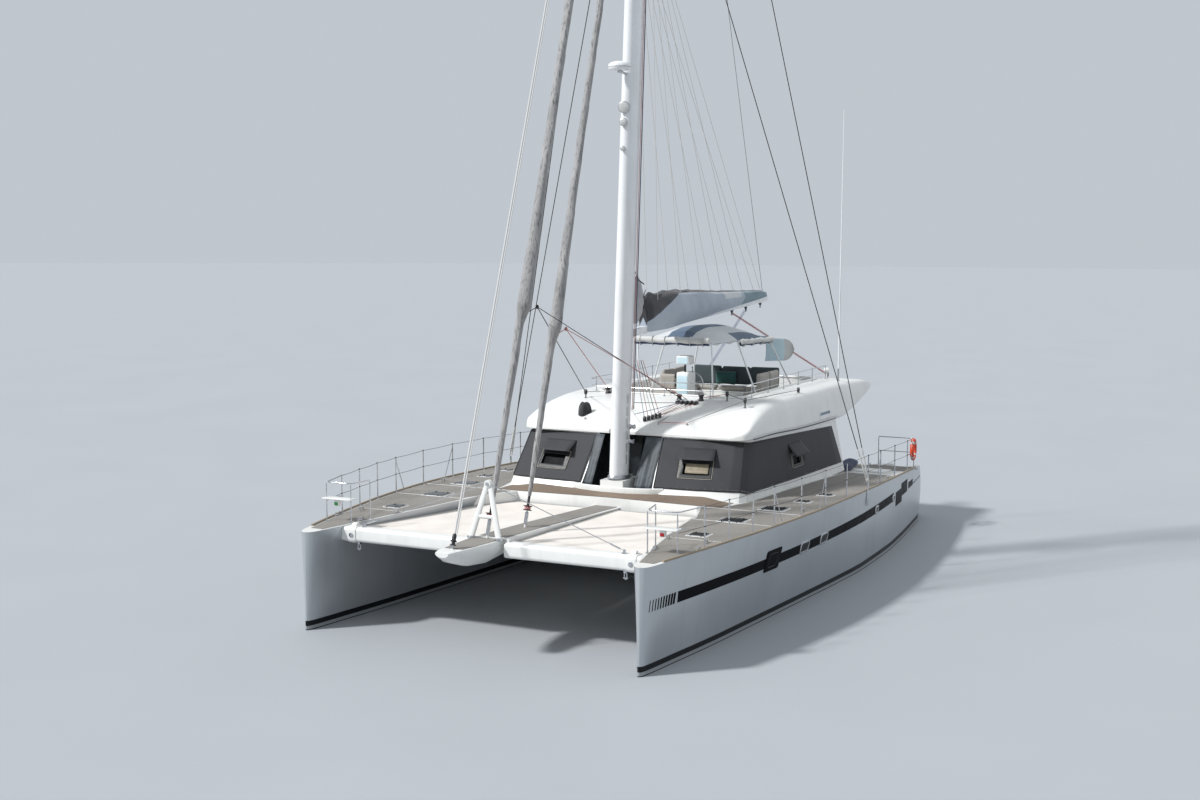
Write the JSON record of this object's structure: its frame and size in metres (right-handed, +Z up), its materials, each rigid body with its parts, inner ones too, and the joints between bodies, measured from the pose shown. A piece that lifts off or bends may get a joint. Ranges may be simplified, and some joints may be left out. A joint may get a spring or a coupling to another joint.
{
  "type": "sailing catamaran",
  "caption": "Cruising sailing catamaran with a hardtop flybridge, canvas bimini, furled headsails and stowed mainsail, afloat at its waterline.",
  "frame": {"origin": "on the centreline at the waterline, about amidships", "axes": "+Z up, bows towards -Y, port side +X"},
  "size_m": [11.336, 22.0225, 32.2767],
  "materials": {
    "hull_silver": "metallic silver-grey topsides, dark below the waterline",
    "antifouling": "matt black antifouling",
    "bronze": "cast bronze",
    "engine_paint": "grey engine enamel",
    "teak": "weathered grey teak",
    "gelcoat": "white gelcoat",
    "netting": "cream knitted mesh",
    "dark_glass": "dark tinted glass",
    "smoked_lens": "smoked acrylic lens in a pale frame",
    "mesh_cloth": "charcoal woven mesh",
    "stainless": "polished stainless steel",
    "cushion": "beige upholstery",
    "canvas": "pale blue-grey canvas",
    "sailcloth": "grey protective strip on rolled sailcloth",
    "orange_foam": "orange-red cover"
  },
  "bodies": {
    "hull_assembly": {"hull_port": "hull_silver", "hull_starboard": "hull_silver", "keel_port": "antifouling", "keel_starboard": "antifouling", "drive_leg_port": "antifouling", "drive_leg_starboard": "antifouling", "engine_port": "engine_paint", "engine_starboard": "engine_paint", "bridgedeck": "gelcoat", "longeron": "gelcoat", "crossbeam": "gelcoat", "striker": "gelcoat", "trampoline_port": "netting", "trampoline_starboard": "netting", "hardtop": "gelcoat", "cabin_walls": "gelcoat", "cabin_glazing": "dark_glass", "window_cover_port": "mesh_cloth", "window_cover_starboard": "mesh_cloth", "aft_glazing": "dark_glass", "helm_console": "gelcoat", "helm_seat": "cushion", "flybridge_sofa": "cushion", "cockpit_sofa": "cushion", "cockpit_table": "teak", "bimini_canopy": "canvas", "bimini_frame": "stainless", "mast": "gelcoat", "radar": "gelcoat", "genoa_furled": "sailcloth", "staysail_furled": "sailcloth", "bowsprit_furler": "sailcloth", "shrouds_port": "stainless", "shrouds_starboard": "stainless", "guardrail_port": "stainless", "guardrail_starboard": "stainless", "life_ring": "orange_foam"},
    "steering_wheel": {"steering_wheel": "stainless"},
    "rudder_port": {"rudder_port": "antifouling"},
    "rudder_starboard": {"rudder_starboard": "antifouling"},
    "propeller_port": {"propeller_port": "bronze"},
    "propeller_starboard": {"propeller_starboard": "bronze"},
    "boom": {"boom": "gelcoat", "mainsail_bag": "canvas"},
    "saloon_door": {"saloon_door": "dark_glass"},
    "deck_hatch_port_1": {"deck_hatch_port_1": "smoked_lens"},
    "deck_hatch_port_2": {"deck_hatch_port_2": "smoked_lens"},
    "deck_hatch_port_3": {"deck_hatch_port_3": "smoked_lens"},
    "deck_hatch_port_4": {"deck_hatch_port_4": "smoked_lens"},
    "deck_hatch_port_5": {"deck_hatch_port_5": "smoked_lens"},
    "engine_hatch_port": {"engine_hatch_port": "teak"},
    "deck_hatch_starboard_1": {"deck_hatch_starboard_1": "smoked_lens"},
    "deck_hatch_starboard_2": {"deck_hatch_starboard_2": "smoked_lens"},
    "deck_hatch_starboard_3": {"deck_hatch_starboard_3": "smoked_lens"},
    "deck_hatch_starboard_4": {"deck_hatch_starboard_4": "smoked_lens"},
    "deck_hatch_starboard_5": {"deck_hatch_starboard_5": "smoked_lens"},
    "engine_hatch_starboard": {"engine_hatch_starboard": "teak"}
  },
  "joints": [
    {"name": "steering_wheel_turn", "type": "hinge", "parent": "hull_assembly", "child": "steering_wheel", "pos_m": [0.33, 1.19, 4.96], "axis": [0, 1, 0], "range_deg": [-540, 540]},
    {"name": "rudder_port_turn", "type": "hinge", "parent": "hull_assembly", "child": "rudder_port", "pos_m": [4.3, 8.15, -0.79], "axis": [0, 0, 1], "range_deg": [-35, 35]},
    {"name": "rudder_starboard_turn", "type": "hinge", "parent": "hull_assembly", "child": "rudder_starboard", "pos_m": [-4.3, 8.15, -0.79], "axis": [0, 0, 1], "range_deg": [-35, 35]},
    {"name": "propeller_port_spin", "type": "hinge", "parent": "hull_assembly", "child": "propeller_port", "pos_m": [4.3, 6.65, -1.18], "axis": [0, 1, 0], "continuous": true},
    {"name": "propeller_starboard_spin", "type": "hinge", "parent": "hull_assembly", "child": "propeller_starboard", "pos_m": [-4.3, 6.65, -1.18], "axis": [0, 1, 0], "continuous": true},
    {"name": "boom_swing", "type": "hinge", "parent": "hull_assembly", "child": "boom", "pos_m": [0, -2.24, 6.62], "axis": [0, 0, 1], "range_deg": [-50, 50]},
    {"name": "saloon_door_slide", "type": "slide", "parent": "hull_assembly", "child": "saloon_door", "axis": [1, 0, 0], "range_m": [0, 1.8]},
    {"name": "deck_hatch_port_1_open", "type": "hinge", "parent": "hull_assembly", "child": "deck_hatch_port_1", "pos_m": [4.16, -7.635, 2.4081], "axis": [1, 0, 0], "range_deg": [0, 95]},
    {"name": "deck_hatch_port_2_open", "type": "hinge", "parent": "hull_assembly", "child": "deck_hatch_port_2", "pos_m": [4.21, -5.69, 2.4068], "axis": [1, 0, 0], "range_deg": [0, 95]},
    {"name": "deck_hatch_port_3_open", "type": "hinge", "parent": "hull_assembly", "child": "deck_hatch_port_3", "pos_m": [4.52, -3.68, 2.3848], "axis": [1, 0, 0], "range_deg": [0, 95]},
    {"name": "deck_hatch_port_4_open", "type": "hinge", "parent": "hull_assembly", "child": "deck_hatch_port_4", "pos_m": [4.78, -2.065, 2.3541], "axis": [1, 0, 0], "range_deg": [0, 95]},
    {"name": "deck_hatch_port_5_open", "type": "hinge", "parent": "hull_assembly", "child": "deck_hatch_port_5", "pos_m": [4.92, -0.615, 2.3164], "axis": [1, 0, 0], "range_deg": [0, 95]},
    {"name": "engine_hatch_port_open", "type": "hinge", "parent": "hull_assembly", "child": "engine_hatch_port", "pos_m": [4.3, 5.705, 2.044], "axis": [1, 0, 0], "range_deg": [0, 90]},
    {"name": "deck_hatch_starboard_1_open", "type": "hinge", "parent": "hull_assembly", "child": "deck_hatch_starboard_1", "pos_m": [-4.16, -7.635, 2.4081], "axis": [1, 0, 0], "range_deg": [0, 95]},
    {"name": "deck_hatch_starboard_2_open", "type": "hinge", "parent": "hull_assembly", "child": "deck_hatch_starboard_2", "pos_m": [-4.21, -5.69, 2.4068], "axis": [1, 0, 0], "range_deg": [0, 95]},
    {"name": "deck_hatch_starboard_3_open", "type": "hinge", "parent": "hull_assembly", "child": "deck_hatch_starboard_3", "pos_m": [-4.52, -3.68, 2.3848], "axis": [1, 0, 0], "range_deg": [0, 95]},
    {"name": "deck_hatch_starboard_4_open", "type": "hinge", "parent": "hull_assembly", "child": "deck_hatch_starboard_4", "pos_m": [-4.78, -2.065, 2.3541], "axis": [1, 0, 0], "range_deg": [0, 95]},
    {"name": "deck_hatch_starboard_5_open", "type": "hinge", "parent": "hull_assembly", "child": "deck_hatch_starboard_5", "pos_m": [-4.92, -0.615, 2.3164], "axis": [1, 0, 0], "range_deg": [0, 95]},
    {"name": "engine_hatch_starboard_open", "type": "hinge", "parent": "hull_assembly", "child": "engine_hatch_starboard", "pos_m": [-4.3, 5.705, 2.044], "axis": [1, 0, 0], "range_deg": [0, 90]}
  ],
  "couplings": [
    {"joint": "rudder_port_turn", "follows": "steering_wheel_turn", "ratio": 0.0648},
    {"joint": "rudder_starboard_turn", "follows": "steering_wheel_turn", "ratio": 0.0648}
  ]
}
